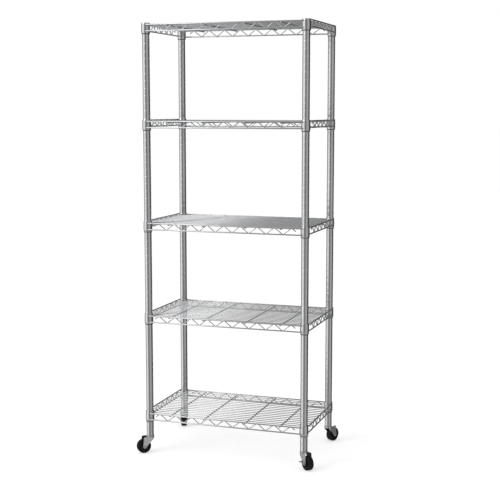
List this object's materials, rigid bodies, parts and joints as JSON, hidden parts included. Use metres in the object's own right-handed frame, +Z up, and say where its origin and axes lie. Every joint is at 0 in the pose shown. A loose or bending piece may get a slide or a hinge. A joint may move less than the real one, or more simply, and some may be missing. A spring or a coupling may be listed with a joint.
{
  "type": "wire shelving rack on casters",
  "caption": "Tall open rack of wire shelves on grooved round posts, standing on swivel casters with brake levers at the front.",
  "frame": {"origin": "on the floor, in the middle of the four posts", "axes": "+Z up the posts; +X along the shelves towards the right end; the front of the rack faces -Y"},
  "size_m": [0.6612, 0.4145, 1.524],
  "materials": {
    "post_plating": "satin chrome plate on steel tube, fine lengthwise haze",
    "cap_plating": "satin chrome plate",
    "wire_plating": "satin chrome plate over drawn wire",
    "collar_plating": "satin chrome plate on pressed collar",
    "sleeve_plastic": "moulded black, matt",
    "plug_steel": "turned steel, hidden inside the posts",
    "caster_steel": "bright zinc plate on pressed steel",
    "bolt_steel": "zinc plated bolt and nut",
    "hub_plastic": "moulded black, matt",
    "tyre_rubber": "black rubber, lightly scuffed"
  },
  "bodies": {
    "rack": {"post_lower_front_left": "post_plating", "post_lower_front_right": "post_plating", "post_lower_back_left": "post_plating", "post_lower_back_right": "post_plating", "post_upper_front_left": "post_plating", "post_upper_front_right": "post_plating", "post_upper_back_left": "post_plating", "post_upper_back_right": "post_plating", "post_joiners": "plug_steel", "post_caps": "cap_plating", "caster_sockets": "plug_steel", "caster_stems": "caster_steel", "deck_1": "wire_plating", "deck_2": "wire_plating", "deck_3": "wire_plating", "deck_4": "wire_plating", "deck_5": "wire_plating", "rail_front_1": "wire_plating", "rail_front_2": "wire_plating", "rail_front_3": "wire_plating", "rail_front_4": "wire_plating", "rail_front_5": "wire_plating", "rail_back_1": "wire_plating", "rail_back_2": "wire_plating", "rail_back_3": "wire_plating", "rail_back_4": "wire_plating", "rail_back_5": "wire_plating", "end_rails_1": "wire_plating", "end_rails_2": "wire_plating", "end_rails_3": "wire_plating", "end_rails_4": "wire_plating", "end_rails_5": "wire_plating", "collars_1": "collar_plating", "collars_2": "collar_plating", "collars_3": "collar_plating", "collars_4": "collar_plating", "collars_5": "collar_plating", "sleeves_1": "sleeve_plastic", "sleeves_2": "sleeve_plastic", "sleeves_3": "sleeve_plastic", "sleeves_4": "sleeve_plastic", "sleeves_5": "sleeve_plastic"},
    "swivel_front_left": {"fork_front_left": "caster_steel", "axle_front_left": "bolt_steel"},
    "wheel_front_left": {"wheel_hub_front_left": "hub_plastic", "tyre_front_left": "tyre_rubber"},
    "brake_front_left": {"brake_lever_front_left": "caster_steel"},
    "swivel_front_right": {"fork_front_right": "caster_steel", "axle_front_right": "bolt_steel"},
    "wheel_front_right": {"wheel_hub_front_right": "hub_plastic", "tyre_front_right": "tyre_rubber"},
    "brake_front_right": {"brake_lever_front_right": "caster_steel"},
    "swivel_back_left": {"fork_back_left": "caster_steel", "axle_back_left": "bolt_steel"},
    "wheel_back_left": {"wheel_hub_back_left": "hub_plastic", "tyre_back_left": "tyre_rubber"},
    "swivel_back_right": {"fork_back_right": "caster_steel", "axle_back_right": "bolt_steel"},
    "wheel_back_right": {"wheel_hub_back_right": "hub_plastic", "tyre_back_right": "tyre_rubber"}
  },
  "joints": [
    {"name": "swivel_front_left_turn", "type": "hinge", "parent": "rack", "child": "swivel_front_left", "pos_m": [-0.288, -0.163, 0.058], "axis": [0, 0, 1], "continuous": true},
    {"name": "wheel_front_left_roll", "type": "hinge", "parent": "swivel_front_left", "child": "wheel_front_left", "pos_m": [-0.30628, -0.18005, 0.025], "axis": [0.682, -0.7314, 0], "continuous": true},
    {"name": "brake_front_left_press", "type": "hinge", "parent": "swivel_front_left", "child": "brake_front_left", "pos_m": [-0.30628, -0.18005, 0.025], "axis": [-0.682, 0.7314, 0], "range_deg": [0, 25]},
    {"name": "swivel_front_right_turn", "type": "hinge", "parent": "rack", "child": "swivel_front_right", "pos_m": [0.288, -0.163, 0.058], "axis": [0, 0, 1], "continuous": true},
    {"name": "wheel_front_right_roll", "type": "hinge", "parent": "swivel_front_right", "child": "wheel_front_right", "pos_m": [0.30687, -0.1794, 0.025], "axis": [0.6561, 0.7547, 0], "continuous": true},
    {"name": "brake_front_right_press", "type": "hinge", "parent": "swivel_front_right", "child": "brake_front_right", "pos_m": [0.30687, -0.1794, 0.025], "axis": [-0.6561, -0.7547, 0], "range_deg": [0, 25]},
    {"name": "swivel_back_left_turn", "type": "hinge", "parent": "rack", "child": "swivel_back_left", "pos_m": [-0.288, 0.163, 0.058], "axis": [0, 0, 1], "continuous": true},
    {"name": "wheel_back_left_roll", "type": "hinge", "parent": "swivel_back_left", "child": "wheel_back_left", "pos_m": [-0.29974, 0.18507, 0.025], "axis": [-0.8829, -0.4695, 0], "continuous": true},
    {"name": "swivel_back_right_turn", "type": "hinge", "parent": "rack", "child": "swivel_back_right", "pos_m": [0.288, 0.163, 0.058], "axis": [0, 0, 1], "continuous": true},
    {"name": "wheel_back_right_roll", "type": "hinge", "parent": "swivel_back_right", "child": "wheel_back_right", "pos_m": [0.29896, 0.18547, 0.025], "axis": [-0.8988, 0.4384, 0], "continuous": true}
  ]
}
